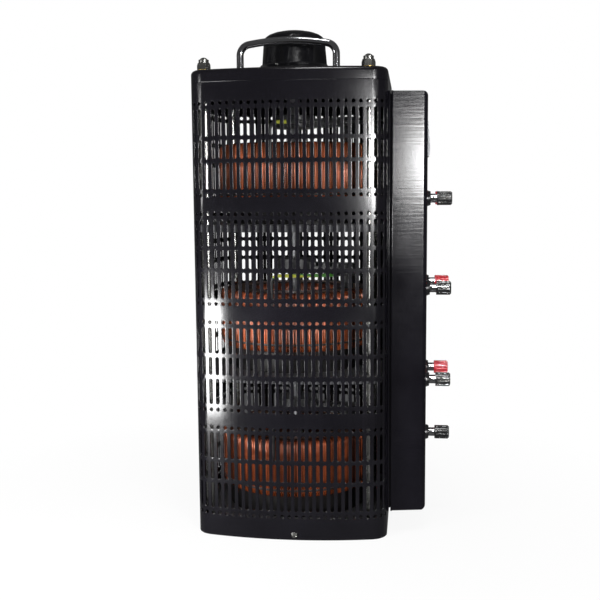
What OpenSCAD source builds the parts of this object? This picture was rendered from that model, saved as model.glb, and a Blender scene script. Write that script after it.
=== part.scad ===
// Three-phase variable autotransformer in a perforated cage, with a terminal box on one side.
// Origin: centre of the underside. +Z is up, +X points to the terminal box, -Y is the front wall.

/* [Housing] */
// Width and depth of the cage over its bulged walls
body_w = 220; // [200:1:264]
// Height of the cage with its cover
body_h = 510; // [460:1:612]
// Rise of each bulged wall between the corners of the cage
wall_bulge = 14; // [8:0.5:18]
// Outer radius of the upright corners
corner_r = 20; // [16:0.5:26]
// Sheet thickness of the cage
cage_t = 1.2; // [0.8:0.1:2]

/* [Perforation] */
// Wanted spacing of the hole columns
hole_pitch = 7.9; // [7:0.1:12]
// Width of each slot, and diameter of each round hole
slot_w = 4; // [3:0.1:5]
// Plain sheet between two holes of one column
hole_bridge = 4; // [3:0.1:6]
// Plain sheet between two groups of holes, from round hole to round hole
band_gap = 20; // [14:1:30]
// Height of the lowest round holes
first_hole_z = 26; // [20:1:40]
// Distance of the highest round holes below the top of the cover
last_hole_drop = 36; // [28:1:50]
// Number of hole groups, one above the other
hole_groups = 4; // [3:1:5]

/* [Cover and base] */
// Thickness of the top of the cover
cover_t = 1.5; // [1:0.1:3]
// Height of the cover's skirt
skirt_h = 14; // [10:1:20]
// Radius of the cover's upper edge
cover_edge_r = 5; // [2:0.5:6]
// Thickness of the base plate and of the three support plates
plate_t = 8; // [5:0.5:10]
// Distance of the tie rods inside the left and right sides of the cage
rod_inset_x = 21; // [19:0.5:26]
// Distance of the tie rods inside the front and rear of the cage
rod_inset_y = 32; // [30:0.5:38]
// Diameter of the tie rods
rod_d = 8; // [6:0.5:10]
// Width across the flats of the acorn nuts
nut_af = 13; // [10:0.5:13]

/* [Coils] */
// Outer radius of each ring winding
coil_r = 88; // [80:0.5:92]
// Radius of the hole through each ring winding
coil_bore_r = 45; // [38:0.5:52]
// Height of each ring winding
coil_h = 66; // [50:1:72]
// Height of the seat under each winding
seat_h = 23; // [15:1:28]

/* [Leads] */
// Diameter of the earth lead of each winding
lead_d = 4; // [3:0.5:5]
// Height of the lead's run above its winding
lead_rise = 20; // [12:1:30]

/* [Shaft, brushes and knob] */
// Diameter of the shaft
shaft_d = 12; // [10:0.5:16]
// Radius of the circle on which the brushes run
brush_r = 67; // [60:0.5:74]
// Direction of the brushes at the zero mark
brush_angle = -20; // [-90:1:-20]
// Running gap between each brush and its winding
brush_gap = 0.3; // [0.2:0.1:1]
// Diameter of the knob's base flange
knob_d = 92; // [80:1:94]
// Height of the knob
knob_h = 47; // [38:1:54]

/* [Carrying handle] */
// Distance between the handle's legs
handle_span = 106; // [96:1:116]
// Height of the handle's bar above the cover, to its middle
handle_h = 34.5; // [28:0.5:42]
// Diameter of the handle's rod
handle_d = 8; // [6:0.5:9]
// Distance of the handle in front of the middle
handle_y = 56; // [54:0.5:64]

/* [Terminal box] */
// Projection of the box from the cage
box_d = 42; // [30:1:50]
// Width of the box at the cage
box_w = 158; // [140:1:158]
// Slope of each side of the box, inwards over its whole projection
box_taper = 7.5; // [0:0.5:10]
// Height of the box's underside
box_z = 26; // [10:1:32]
// Distance of the box's top below the top of the cover
box_drop = 24; // [16:1:40]
// Sheet thickness of the box
box_t = 1.5; // [1:0.1:2.5]
// Radius of the box's edges
box_edge_r = 4; // [3:0.5:6]

/* [Binding posts] */
// Height of the three pairs of posts
post_z = [168, 272, 372];
// Height of the single post under them
single_post_z = 102; // [80:1:130]
// Distance between the two columns of posts
post_gap = 76; // [50:1:100]
// Diameter of the stud of each post
stud_d = 6; // [4:0.5:8]
// Diameter of the screw cap of each post
post_cap_d = 15.5; // [12:0.5:18]
// Length of the screw cap of each post
post_cap_len = 16.5; // [12:0.5:20]

/* [Hidden] */
fit = 0.2;
run_fit = 0.05;
soft_gap = 0.3;
a = body_w / 2;
face_r = (a * a + wall_bulge * wall_bulge) / (2 * wall_bulge);
face_c = face_r - a;
// centre of a corner between two bulged walls, and the half angle of such a wall
bulge_c = (-face_c + sqrt(2 * pow(face_r - corner_r, 2) - face_c * face_c)) / 2;
bulge_a = atan2(bulge_c, bulge_c + face_c);
// centre of a corner beside the flat wall, and the angle up to it
flat_x = a - corner_r;
flat_y = sqrt(pow(face_r - corner_r, 2) - flat_x * flat_x) - face_c;
flat_a = asin(flat_x / (face_r - corner_r));
cage_h = body_h - skirt_h;
lip_t = 1.2;
lip_h = 8;
layer_t = 0.1;
level_n = 3;
// the lowest support plate lies on the base plate
first_plate_z = 2 * plate_t;
level_pitch = (body_h - first_plate_z) / level_n;
group_h = (body_h - first_hole_z - last_hole_drop - (hole_groups - 1) * band_gap) / hole_groups;
// lengths of the two long slots and of the middle slot of a group
slots_sum = group_h - slot_w - 4 * hole_bridge;
slot_long = slots_sum * 0.37;
slot_mid = slots_sum - 2 * slot_long;
box_x = a + box_d;
box_h = body_h - box_z - box_drop;
// half width of the box at the cage, inside the flat wall
box_half = min(box_w / 2, flat_y - 1);
rods = [for (sx = [-1, 1], sy = [-1, 1]) [sx * (a - rod_inset_x), sy * (a - rod_inset_y)]];
spacer_r = rod_d / 2 + 2.2;
nut_h = 13;
nut_hex_h = 7;
nut_dome_d = nut_af * 0.86;
washer_r = nut_af / 2 + 0.6;
washer_t = 2;
bush_r = shaft_d / 2 + 5;
hub_d = shaft_d + 36;
arm_lift = 19;
arm_t = 10;
arm_w = 18;
arm_end_r = 12;
holder_r = 9;
holder_low = 8;
brush_l = 8;
brush_w = 12;
brush_top = 18.7;
dial_t = 1.2;
knob_clear = 5;
knob_z = body_h + dial_t + knob_clear;
knob_bore = 26;
posts = concat([for (z = post_z, s = [-1, 1]) [s * post_gap / 2, z]], [[-post_gap / 4, single_post_z]]);
collar_len = 4;
stub_len = 7;
stud_tail = 14;
stud_nut_h = 5;
cap_z = collar_len + stub_len;
cap_edge = 1.5;
meter_w = 45;
meter_h = 39;
meter_z = body_h - 91;
// the lead's arc beside the winding, its bend towards the flat wall, and the bend at its start
lead_r = coil_r + lead_d / 2 + soft_gap;
lead_from = -95;
lead_to = -50;
lead_out_r = 20;
lead_bend_r = 8;
lead_tail = 35;
lead_y = (lead_r + lead_out_r) * sin(lead_to) + lead_out_r;
// the shaft's lower end, just above the base plate
shaft_z = first_plate_z - plate_t + soft_gap;

function plate_top(i) = first_plate_z + i * level_pitch;
function coil_z(i) = plate_top(i) + seat_h;
function coil_top(i) = coil_z(i) + coil_h;
// A point turned round the Z axis by q
function turn(q, p) = [p[0] * cos(q) - p[1] * sin(q), p[0] * sin(q) + p[1] * cos(q), p[2]];
// Middle line of a lead, from the side of its winding to the inside of the terminal box
lead_line = concat(
    [turn(lead_from, [lead_r, -lead_bend_r, -lead_bend_r - lead_tail])],
    [for (t = [0:30:60]) turn(lead_from, [lead_r, -lead_bend_r * cos(t), -lead_bend_r * (1 - sin(t))])],
    [for (q = [lead_from:10:lead_to]) turn(q, [lead_r, 0, 0])],
    [for (w = [170 + lead_to:-10:90]) turn(lead_to, [lead_r + lead_out_r, 0, 0])
        + lead_out_r * [cos(w), sin(w), 0]],
    [[a + 12, lead_y, 0]]);
// Points along an arc of n equal steps
function arc(c, r, from, to, n) = [for (i = [0:n])
    let (q = from + (to - from) * i / n) c + r * [cos(q), sin(q)]];

// Outline of the cage in plan, moved inwards by d
function outline(d) = concat(
    arc([flat_x, flat_y], corner_r - d, 0, 90 - flat_a, 7),
    arc([0, -face_c], face_r - d, 90 - flat_a, 90 + bulge_a, 10),
    arc([-bulge_c, bulge_c], corner_r - d, 90 + bulge_a, 180 - bulge_a, 7),
    arc([face_c, 0], face_r - d, 180 - bulge_a, 180 + bulge_a, 10),
    arc([-bulge_c, -bulge_c], corner_r - d, 180 + bulge_a, 270 - bulge_a, 7),
    arc([0, face_c], face_r - d, 270 - bulge_a, 270 + flat_a, 10),
    arc([flat_x, -flat_y], corner_r - d, 270 + flat_a, 360, 7));

// ---- Perforated cage

// One upright slot with round ends
module slot(z, len) {
    translate([-slot_w / 2, z - len / 2 + slot_w / 2]) square([slot_w, len - slot_w]);
    translate([0, z - len / 2 + slot_w / 2]) circle(d = slot_w, $fn = 32);
    translate([0, z + len / 2 - slot_w / 2]) circle(d = slot_w, $fn = 32);
}

// All holes of one column: in each group round, long, middle, long, round
module hole_column() {
    for (g = [0:hole_groups - 1]) {
        z0 = first_hole_z + g * (group_h + band_gap);
        side = slot_w / 2 + hole_bridge + slot_long / 2;
        translate([0, z0]) circle(d = slot_w, $fn = 32);
        translate([0, z0 + group_h]) circle(d = slot_w, $fn = 32);
        slot(z0 + side, slot_long);
        slot(z0 + group_h - side, slot_long);
        slot(z0 + group_h / 2, slot_mid);
    }
}

// Upright strip of sheet that follows an arc: n columns of holes from angle a0, up to angle a1.
// Each column is flat, and on a tight arc the sheet between two columns is flat too.
module perforated_arc(c, r, a0, a1, n, step, tight = false) {
    half = asin((slot_w / 2 + 0.3) / r);
    edges = tight
        ? concat([a0], [for (i = [0:n - 1], s = [-1, 1]) a0 + (i + 0.5) * step + s * half], [a1])
        : [for (i = [0:n]) a0 + i * step];
    m = len(edges) - 1;
    difference() {
        linear_extrude(height = cage_h)
            polygon(concat([for (q = edges) c + r * [cos(q), sin(q)]],
                [for (i = [m:-1:0]) c + (r - cage_t) * [cos(edges[i]), sin(edges[i])]]));
        translate(c)
            for (i = [0:n - 1])
                rotate([0, 0, a0 + (i + 0.5) * step])
                    translate([r - 5, 0, 0])
                        rotate([90, 0, 90])
                            linear_extrude(height = 10)
                                hole_column();
    }
}

module bulged_wall(c, a0, a1) {
    n = round((a1 - a0) * PI / 180 * face_r / hole_pitch);
    perforated_arc(c, face_r, a0, a1, n, (a1 - a0) / n);
}

// A corner from angle a0; beside the flat wall the last stretch stays plain
module corner(c, a0, a1) {
    n = floor((a1 - a0) * PI / 180 * corner_r / hole_pitch + 0.1);
    step = min((a1 - a0) / n, hole_pitch / corner_r * 180 / PI);
    perforated_arc(c, corner_r, a0, a1, n, step, true);
}

module wall_front() color([0.08, 0.075, 0.09]) bulged_wall([0, face_c], 270 - bulge_a, 270 + flat_a);
module wall_rear() color([0.08, 0.075, 0.09]) mirror([0, 1, 0]) wall_front();
module wall_left() color([0.08, 0.075, 0.09]) bulged_wall([face_c, 0], 180 - bulge_a, 180 + bulge_a);
// Plain wall behind the terminal box, with a hole for each lead
module wall_right() color([0.08, 0.075, 0.09]) difference() {
    translate([a - cage_t, -flat_y, 0]) cube([cage_t, 2 * flat_y, cage_h]);
    for (i = [0:level_n - 1])
        translate([a - cage_t - 1, lead_y, coil_top(i) + lead_rise]) rotate([0, 90, 0])
            cylinder(d = lead_d + 2 * fit, h = cage_t + 2);
}
module corner_front_left() color([0.08, 0.075, 0.09])
    corner([-bulge_c, -bulge_c], 180 + bulge_a, 270 - bulge_a);
module corner_rear_left() color([0.08, 0.075, 0.09]) mirror([0, 1, 0]) corner_front_left();
module corner_front_right() color([0.08, 0.075, 0.09])
    corner([flat_x, -flat_y], 270 + flat_a, 360);
module corner_rear_right() color([0.08, 0.075, 0.09]) mirror([0, 1, 0]) corner_front_right();

// ---- Cover, plates and tie rods

module rod_holes(z, h) {
    for (p = rods) translate([p[0], p[1], z]) cylinder(d = rod_d + 2 * fit, h = h);
}

// Shallow cover with a rounded upper edge, and a lip that drops inside the cage
module top_cover() color([0.08, 0.075, 0.09]) difference() {
    union() {
        hull() {
            translate([0, 0, cage_h])
                linear_extrude(height = skirt_h - cover_edge_r) polygon(outline(0));
            for (q = [30:30:90])
                translate([0, 0, body_h - cover_edge_r * (1 - sin(q)) - layer_t])
                    linear_extrude(height = layer_t) polygon(outline(cover_edge_r * (1 - cos(q))));
        }
        translate([0, 0, cage_h - lip_h])
            linear_extrude(height = lip_h + 1) polygon(outline(cage_t + fit));
    }
    translate([0, 0, cage_h - lip_h - 1])
        linear_extrude(height = skirt_h + lip_h + 1 - cover_t) polygon(outline(cage_t + fit + lip_t));
    rod_holes(cage_h, skirt_h + 1);
    translate([0, 0, cage_h]) cylinder(d = shaft_d + 4, h = skirt_h + 1);
}

module base_plate() color([0.12, 0.12, 0.13]) difference() {
    linear_extrude(height = plate_t) polygon(outline(cage_t + fit));
    rod_holes(-1, plate_t + 2);
}

// Flat plate that carries one coil, clear of the cage all round
module support_plate(i) color([0.32, 0.32, 0.34]) difference() {
    translate([0, 0, plate_top(i) - plate_t]) linear_extrude(height = plate_t) polygon(outline(6));
    rod_holes(plate_top(i) - plate_t - 1, plate_t + 2);
    translate([0, 0, plate_top(i) - plate_t - 1]) cylinder(r = bush_r, h = plate_t + 2);
}

module tie_rods() color([0.75, 0.62, 0.3])
    for (p = rods) translate([p[0], p[1], 0]) cylinder(d = rod_d, h = body_h + washer_t + nut_h - 3);

// Tubes round the tie rods that hold the plates and the cover apart
module spacer_tubes() color([0.6, 0.6, 0.62])
    for (p = rods, i = [1:level_n]) {
        z0 = plate_top(i - 1);
        z1 = i == level_n ? body_h - cover_t : plate_top(i) - plate_t;
        translate([p[0], p[1], z0]) difference() {
            cylinder(r = spacer_r, h = z1 - z0);
            translate([0, 0, -1]) cylinder(d = rod_d + 2 * fit, h = z1 - z0 + 2);
        }
    }

module washers() color([0.8, 0.68, 0.3])
    for (p = rods) translate([p[0], p[1], body_h]) difference() {
        cylinder(r = washer_r, h = washer_t);
        translate([0, 0, -1]) cylinder(d = rod_d + 2 * fit, h = washer_t + 2);
    }

// Domed hexagon nuts on the tie rods
module acorn_nuts() color([0.72, 0.72, 0.7])
    for (p = rods) translate([p[0], p[1], body_h + washer_t]) difference() {
        union() {
            intersection() {
                cylinder(d = nut_af / cos(30), h = nut_hex_h, $fn = 6);
                cylinder(r1 = nut_af * 0.55, r2 = nut_af * 0.62, h = 1);
            }
            translate([0, 0, 1]) intersection() {
                cylinder(d = nut_af / cos(30), h = nut_hex_h - 1, $fn = 6);
                cylinder(r1 = nut_af * 0.66, r2 = nut_af * 0.5, h = nut_hex_h - 1);
            }
            translate([0, 0, nut_hex_h]) cylinder(d = nut_dome_d, h = nut_h - nut_hex_h - nut_af * 0.2);
            translate([0, 0, nut_h - nut_dome_d / 2]) sphere(d = nut_dome_d);
        }
        translate([0, 0, -1]) cylinder(d = rod_d, h = nut_h - 2);
    }

// ---- Coils

// Insulating seat between a support plate and its winding: a ring on eight ribs
module coil_seat(i) color([0.1, 0.09, 0.09])
    translate([0, 0, plate_top(i)]) {
        difference() {
            cylinder(r = coil_r - 6, h = seat_h);
            translate([0, 0, -1]) cylinder(r = coil_bore_r + 3, h = seat_h + 2);
            translate([0, 0, 4]) difference() {
                cylinder(r = coil_r - 9, h = seat_h);
                cylinder(r = coil_bore_r + 6, h = seat_h);
                for (q = [0:45:315]) rotate([0, 0, q]) translate([0, -2, 0]) cube([coil_r, 4, seat_h]);
            }
        }
    }

// Ring winding with rounded edges
module winding(i) color([0.72, 0.33, 0.16])
    translate([0, 0, coil_z(i)])
        rotate_extrude($fn = 128)
            union() {
                translate([coil_bore_r + 4, 0]) square([coil_r - coil_bore_r - 8, coil_h]);
                translate([coil_bore_r, 4]) square([coil_r - coil_bore_r, coil_h - 8]);
                for (x = [coil_bore_r + 4, coil_r - 4], y = [4, coil_h - 4])
                    translate([x, y]) circle(r = 4, $fn = 32);
            }

// Lead that climbs the side of each winding, runs round its front and goes through the flat wall
module lead_wires() color([0.5, 0.55, 0.12])
    for (i = [0:level_n - 1], k = [0:len(lead_line) - 2])
        translate([0, 0, coil_top(i) + lead_rise]) hull()
            for (p = [lead_line[k], lead_line[k + 1]]) translate(p) sphere(d = lead_d, $fn = 10);

// ---- Shaft, brushes and knob

module shaft_bushes() color([0.7, 0.58, 0.3])
    for (i = [0:level_n - 1])
        translate([0, 0, plate_top(i) - plate_t]) difference() {
            union() {
                cylinder(r = bush_r, h = plate_t);
                translate([0, 0, plate_t]) cylinder(r = bush_r + 4, h = 3);
            }
            translate([0, 0, -1]) cylinder(d = shaft_d + 2 * run_fit, h = plate_t + 5);
        }

module shaft() color([0.7, 0.7, 0.72]) {
    translate([0, 0, shaft_z]) cylinder(d = shaft_d, h = knob_z + knob_bore - shaft_z);
    translate([0, 0, plate_top(0) + 3 + soft_gap]) cylinder(d = shaft_d + 8, h = 8);
}

// Arm that is clamped on the shaft and holds one brush over its winding
module brush_arm(i) color([0.62, 0.62, 0.63])
    translate([0, 0, coil_top(i) + arm_lift]) rotate([0, 0, brush_angle]) difference() {
        union() {
            cylinder(d = hub_d, h = arm_t + 4);
            translate([0, -arm_w / 2, 0]) cube([brush_r, arm_w, arm_t]);
            translate([brush_r, 0, 0]) cylinder(r = arm_end_r, h = arm_t);
            translate([brush_r, 0, holder_low - arm_lift]) cylinder(r = holder_r, h = arm_lift);
        }
        translate([0, 0, -1]) cylinder(d = shaft_d, h = arm_t + 6);
        translate([brush_r - brush_l / 2, -brush_w / 2, holder_low - 1 - arm_lift])
            cube([brush_l, brush_w, arm_lift - holder_low + 1]);
        for (x = [hub_d / 2 + 6:6:brush_r - arm_end_r])
            translate([x, -arm_w / 2 - 1, arm_t - 4]) cube([3, arm_w + 2, 5]);
    }

// Carbon block under the end of each arm
module brush(i) color([0.15, 0.15, 0.16])
    translate([0, 0, coil_top(i) + brush_gap]) rotate([0, 0, brush_angle])
        translate([brush_r - brush_l / 2, -brush_w / 2, 0])
            cube([brush_l, brush_w, brush_top - brush_gap]);

// Knob with a base flange, eight grip ridges and a domed top
module knob() color([0.05, 0.05, 0.055]) translate([0, 0, knob_z]) difference() {
    rotate_extrude($fn = 128) polygon(concat(
        [[0, 0], [knob_d / 2, 0], [knob_d / 2, 3], [knob_d / 2 - 6, 6]],
        [[knob_d * 0.415, 9], [knob_d * 0.385, knob_h - 12]],
        [for (q = [0:15:90]) [knob_d * 0.345 * cos(q) + 2.6 * (1 - q / 90), knob_h - 10 + 10 * sin(q)]]));
    for (q = [15:45:330])
        rotate([0, 0, q]) translate([knob_d * 0.72, 0, 8])
            cylinder(r = knob_d * 0.36, h = knob_h, $fn = 64);
    translate([0, 0, -1]) cylinder(d = shaft_d, h = knob_bore + 1);
}

// Round plate under the knob that carries the scale
module dial_plate() color([0.75, 0.75, 0.76]) translate([0, 0, body_h]) difference() {
    cylinder(d = knob_d + 18, h = dial_t);
    translate([0, 0, -1]) cylinder(d = shaft_d + 4, h = 4);
}

// Bent rod that stands on the cover in front of the knob
module carry_handle() color([0.85, 0.85, 0.87]) translate([0, -handle_y, body_h]) {
    bend = 12;
    leg = handle_h - bend;
    for (s = [-1, 1]) {
        translate([s * handle_span / 2, 0, 0]) cylinder(d = handle_d, h = leg);
        translate([s * (handle_span / 2 - bend), 0, leg]) rotate([90, 0, 0])
            rotate([0, 0, s > 0 ? 0 : 90]) rotate_extrude(angle = 90, $fn = 64)
                translate([bend, 0]) circle(d = handle_d, $fn = 32);
    }
    translate([-handle_span / 2 + bend, 0, handle_h]) rotate([0, 90, 0])
        cylinder(d = handle_d, h = handle_span - 2 * bend);
}

// ---- Terminal box

// Outline of the box in plan, moved inwards by d
module box_profile(d) {
    r = max(box_edge_r - d, 0.5);
    w = box_half - d;
    x = box_d - d;
    polygon(concat([[0, w], [0, -w]], arc([x - r, -w + box_taper + r], r, 270, 360, 6),
        arc([x - r, w - box_taper - r], r, 0, 90, 6)));
}

// Five-sided sheet cover whose open side lies on the flat wall of the cage
module terminal_box() color([0.08, 0.075, 0.09]) difference() {
    translate([a, 0, box_z]) linear_extrude(height = box_h) box_profile(0);
    translate([a, 0, box_z + box_t]) linear_extrude(height = box_h - 2 * box_t)
        intersection() {
            box_profile(box_t);
            translate([-1, -box_w]) square([box_d, 2 * box_w]);
        }
    for (p = posts) translate([a, p[0], p[1]]) rotate([0, 90, 0])
        cylinder(d = stud_d + 2 * fit, h = box_d + 1);
}

// Low cover of the panel meter, fullest near its lower edge
module meter_cover() color([0.62, 0.63, 0.65])
    translate([box_x, meter_w / 2, meter_z]) rotate([90, 0, 0])
        linear_extrude(height = meter_w)
            polygon([[0, 0], [2.4, 0], [3.2, 5], [3.2, 11],
                [1.4, meter_h - 2], [0.9, meter_h], [0, meter_h]]);

module at_posts(list) {
    for (p = list) translate([box_x, p[0], p[1]]) rotate([0, 90, 0]) children();
}

module post_collars() color([0.05, 0.05, 0.055]) at_posts(posts) difference() {
    cylinder(d1 = 18, d2 = 15, h = collar_len);
    translate([0, 0, -1]) cylinder(d = stud_d + 2 * fit, h = collar_len + 2);
}

// Stud with a flange between the collar and the screw cap, and a nut behind the sheet
module post_studs() color([0.8, 0.8, 0.82]) at_posts(posts) {
    translate([0, 0, -stud_tail]) cylinder(d = stud_d, h = stud_tail + cap_z + post_cap_len - 4);
    translate([0, 0, collar_len]) cylinder(d = stud_d + 4, h = stub_len);
    translate([0, 0, -box_t - stud_nut_h]) cylinder(d = stud_d + 5, h = stud_nut_h, $fn = 6);
}

// Screw cap with flutes round its edge
module post_cap() difference() {
    translate([0, 0, cap_z]) union() {
        cylinder(d = post_cap_d, h = post_cap_len - cap_edge);
        translate([0, 0, post_cap_len - cap_edge])
            cylinder(d1 = post_cap_d, d2 = post_cap_d - 2 * cap_edge, h = cap_edge);
    }
    translate([0, 0, cap_z - 1]) cylinder(d = stud_d, h = post_cap_len - 3);
    for (q = [0:30:330]) rotate([0, 0, q])
        translate([post_cap_d / 2 + 0.6, 0, cap_z + 2]) cylinder(r = 1.4, h = post_cap_len);
}

module post_caps_black() color([0.06, 0.06, 0.065]) at_posts([for (p = posts) if (p[0] < 0) p]) post_cap();
module post_caps_red() color([0.6, 0.05, 0.06]) at_posts([for (p = posts) if (p[0] > 0) p]) post_cap();

base_plate();
top_cover();
wall_front();
wall_rear();
wall_left();
wall_right();
corner_front_left();
corner_front_right();
corner_rear_left();
corner_rear_right();
support_plate(0);  // support_plate_1
support_plate(1);  // support_plate_2
support_plate(2);  // support_plate_3
coil_seat(0);  // coil_seat_1
coil_seat(1);  // coil_seat_2
coil_seat(2);  // coil_seat_3
winding(0);  // winding_1
winding(1);  // winding_2
winding(2);  // winding_3
lead_wires();
tie_rods();
spacer_tubes();
acorn_nuts();
washers();
shaft_bushes();
carry_handle();
dial_plate();
terminal_box();
meter_cover();
post_collars();
post_studs();
post_caps_black();
post_caps_red();
shaft();
knob();
brush_arm(0);  // brush_arm_1
brush_arm(1);  // brush_arm_2
brush_arm(2);  // brush_arm_3
brush(0);  // brush_1
brush(1);  // brush_2
brush(2);  // brush_3
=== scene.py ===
"""Looks of a three-phase variable autotransformer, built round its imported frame.

Laid out as an add-on and run as a script: each group of pieces has its own operator, and every
piece is modelled at its real place, in metres.
"""
import math

import bpy
from bpy.props import FloatProperty, FloatVectorProperty, IntProperty, PointerProperty
from mathutils import Matrix, Vector


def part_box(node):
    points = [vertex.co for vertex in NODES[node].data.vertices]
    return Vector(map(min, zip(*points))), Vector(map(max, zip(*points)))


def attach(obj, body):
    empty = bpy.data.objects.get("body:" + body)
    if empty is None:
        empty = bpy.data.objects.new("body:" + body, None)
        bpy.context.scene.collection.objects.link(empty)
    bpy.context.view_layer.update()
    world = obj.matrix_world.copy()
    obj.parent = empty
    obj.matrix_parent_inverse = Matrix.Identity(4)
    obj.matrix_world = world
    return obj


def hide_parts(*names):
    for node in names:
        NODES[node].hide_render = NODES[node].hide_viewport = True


bl_info = {
    "name": "Variable Transformer Looks",
    "version": (1, 0, 0),
    "blender": (4, 5, 0),
    "location": "View3D > Sidebar > Transformer",
    "description": "Builds the cage, coils, fittings and finishes of a variable transformer",
    "category": "Object",
}

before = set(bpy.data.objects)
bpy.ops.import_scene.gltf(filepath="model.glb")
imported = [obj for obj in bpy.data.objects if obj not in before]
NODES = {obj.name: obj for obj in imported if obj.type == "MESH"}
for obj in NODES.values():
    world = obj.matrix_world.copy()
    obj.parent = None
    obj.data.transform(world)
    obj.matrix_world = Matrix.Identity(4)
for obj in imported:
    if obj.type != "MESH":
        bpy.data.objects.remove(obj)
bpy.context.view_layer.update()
HOUSING = "housing"
ROTOR = "rotor"
COVER_LOW, COVER_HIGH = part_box("top_cover")
WALL_LOW, WALL_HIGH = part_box("wall_front")


def length(name, default, description):
    """A size that a user may set, in metres."""
    return FloatProperty(name=name, default=default, description=description, unit="LENGTH", precision=4)


def colour(name, default, description):
    """A linear colour that a user may set."""
    return FloatVectorProperty(
        name=name, default=default, description=description, subtype="COLOR", size=3, min=0, max=1
    )


# ---------------------------------------------------------------- settings


class CageSettings(bpy.types.PropertyGroup):
    """Sizes of the perforated cage that its frame doesn't state."""

    bulge: length("Wall bulge", 0.014, "Rise of a bulged wall between its corners")
    corner: length("Corner radius", 0.020, "Outer radius of the upright corners")
    sheet: length("Sheet", 0.0012, "Thickness of the sheet")
    pitch: length("Hole pitch", 0.0079, "Wanted spacing of the hole columns")
    slot: length("Slot width", 0.004, "Width of the slots and diameter of the round holes")
    bridge: length("Bridge", 0.004, "Plain sheet between two holes of a column")
    band: length("Band", 0.020, "Plain sheet between two groups of holes")
    first: length("First hole", 0.026, "Height of the lowest round holes")
    drop: length("Last hole drop", 0.036, "Distance of the highest holes below the cover's top")
    groups: IntProperty(name="Hole groups", default=4, description="Groups of holes in a column")
    rim: length("Hole rim", 0.0003, "Radius of the rims of the holes")
    cover_edge: length("Cover edge", 0.005, "Radius of the cover's upper edge")


class CoilSettings(bpy.types.PropertyGroup):
    """Sizes of the wound rings."""

    turns: IntProperty(name="Turns", default=216, description="Turns of wire on each ring")
    cord_radius: length("Cord", 0.0013, "Radius of the cord that ties down the lower ends")
    cord_height: length("Cord height", 0.009, "Height of the cord above the ring's lower face")
    lead_rise: length("Lead rise", 0.020, "Height of the earth lead's run above its ring")
    lead_radius: length("Lead radius", 0.002, "Radius of the earth lead")
    wire: length("Wire", 0.002, "Diameter of the wire")
    bend: length("Bend", 0.005, "Bend radius of a turn at the ring's edges")
    track_in: length("Track inside", 0.059, "Inner radius of the bare track for the brush")
    track_out: length("Track outside", 0.075, "Outer radius of the bare track for the brush")


class FittingSettings(bpy.types.PropertyGroup):
    """Sizes of the handle, dial, screws and terminal box."""

    handle_arch: length("Handle arch", 0.0036, "Rise of the handle's bar in its middle")
    handle_bend: length("Handle bend", 0.012, "Bend radius of the handle")
    screw_head: length("Screw head", 0.0035, "Radius of a pan head")
    screw_height: length("Screw height", 0.006, "Height of the base screws")
    taper: length("Box taper", 0.0075, "Slope of each side of the box over its depth")
    box_edge: length("Box edge", 0.005, "Radius of the box's outer edges")
    flange: length("Flange", 0.0018, "Thickness of the box's flange on the cage")
    gap: length("Gap", 0.0018, "Gap between the flange and the box's rim")
    range_deg: FloatProperty(name="Dial range", default=320, description="Turn of the dial from zero to full")
    zero_deg: FloatProperty(name="Dial zero", default=250, description="Direction of the dial's zero mark")
    figures: IntProperty(name="Figures", default=10, description="Numbered steps of the dial")


class FinishSettings(bpy.types.PropertyGroup):
    """Colours of the finishes."""

    paint: colour("Black paint", (0.003, 0.0027, 0.0041), "Semi-gloss black paint")
    grey: colour("Grey paint", (0.06, 0.06, 0.065), "Satin grey paint of the plates")
    copper: colour("Copper", (0.42, 0.095, 0.03), "Varnished copper wire")
    bare: colour("Bare copper", (0.4, 0.19, 0.1), "Ground and worn track of the winding")
    zinc: colour("Yellow zinc", (0.62, 0.45, 0.16), "Yellow passivated zinc plating")
    plastic: colour("Black plastic", (0.004, 0.004, 0.005), "Black moulded plastic")
    red: colour("Red plastic", (0.42, 0.012, 0.02), "Red moulded plastic")


class StageSettings(bpy.types.PropertyGroup):
    """Camera, and how strong the surround is."""

    eye: FloatVectorProperty(
        name="Eye",
        default=(0.1358, -1.0809, 0.3787),
        description="Place of the camera",
        subtype="XYZ",
        unit="LENGTH",
    )
    turn: FloatVectorProperty(
        name="Turn", default=(-0.115, 0.0079, 0.121), description="Tilt, roll and pan", subtype="EULER"
    )
    lens: FloatProperty(name="Lens", default=55.48, description="Focal length on a 36 mm sensor")
    glossy: FloatProperty(name="Gloss surround", default=0.09, description="Surround's strength in gloss")
    fill: FloatProperty(name="Fill", default=0.3, description="Surround's strength as light")


# ---------------------------------------------------------------- modelling helpers


def deselect():
    """Object mode with nothing selected."""
    if bpy.context.object and bpy.context.object.mode != "OBJECT":
        bpy.ops.object.mode_set(mode="OBJECT")
    bpy.ops.object.select_all(action="DESELECT")


def choose(*objects):
    """Selects these objects only, and makes the first one active."""
    deselect()
    for obj in objects:
        obj.select_set(True)
    bpy.context.view_layer.objects.active = objects[0]


def edit(obj, kind="VERT"):
    """Edit mode on one object, with nothing selected."""
    choose(obj)
    bpy.ops.object.mode_set(mode="EDIT")
    bpy.ops.mesh.select_mode(type=kind)
    bpy.ops.mesh.select_all(action="DESELECT")


def pick(obj, kind, test):
    """In edit mode, selects only the "vertices" or "polygons" that pass the test."""
    bpy.ops.object.mode_set(mode="OBJECT")
    mesh = obj.data
    for part in (mesh.vertices, mesh.edges, mesh.polygons):
        part.foreach_set("select", [False] * len(part))
    for item in getattr(mesh, kind):
        item.select = bool(test(item))
    bpy.ops.object.mode_set(mode="EDIT")


def pick_verts(obj, test):
    """In edit mode, selects the vertices whose place passes the test."""
    pick(obj, "vertices", lambda vert: test(vert.co))


def pick_faces(obj, test):
    """In edit mode, selects the faces whose centre and normal pass the test."""
    pick(obj, "polygons", lambda face: test(face.center, face.normal))


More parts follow.
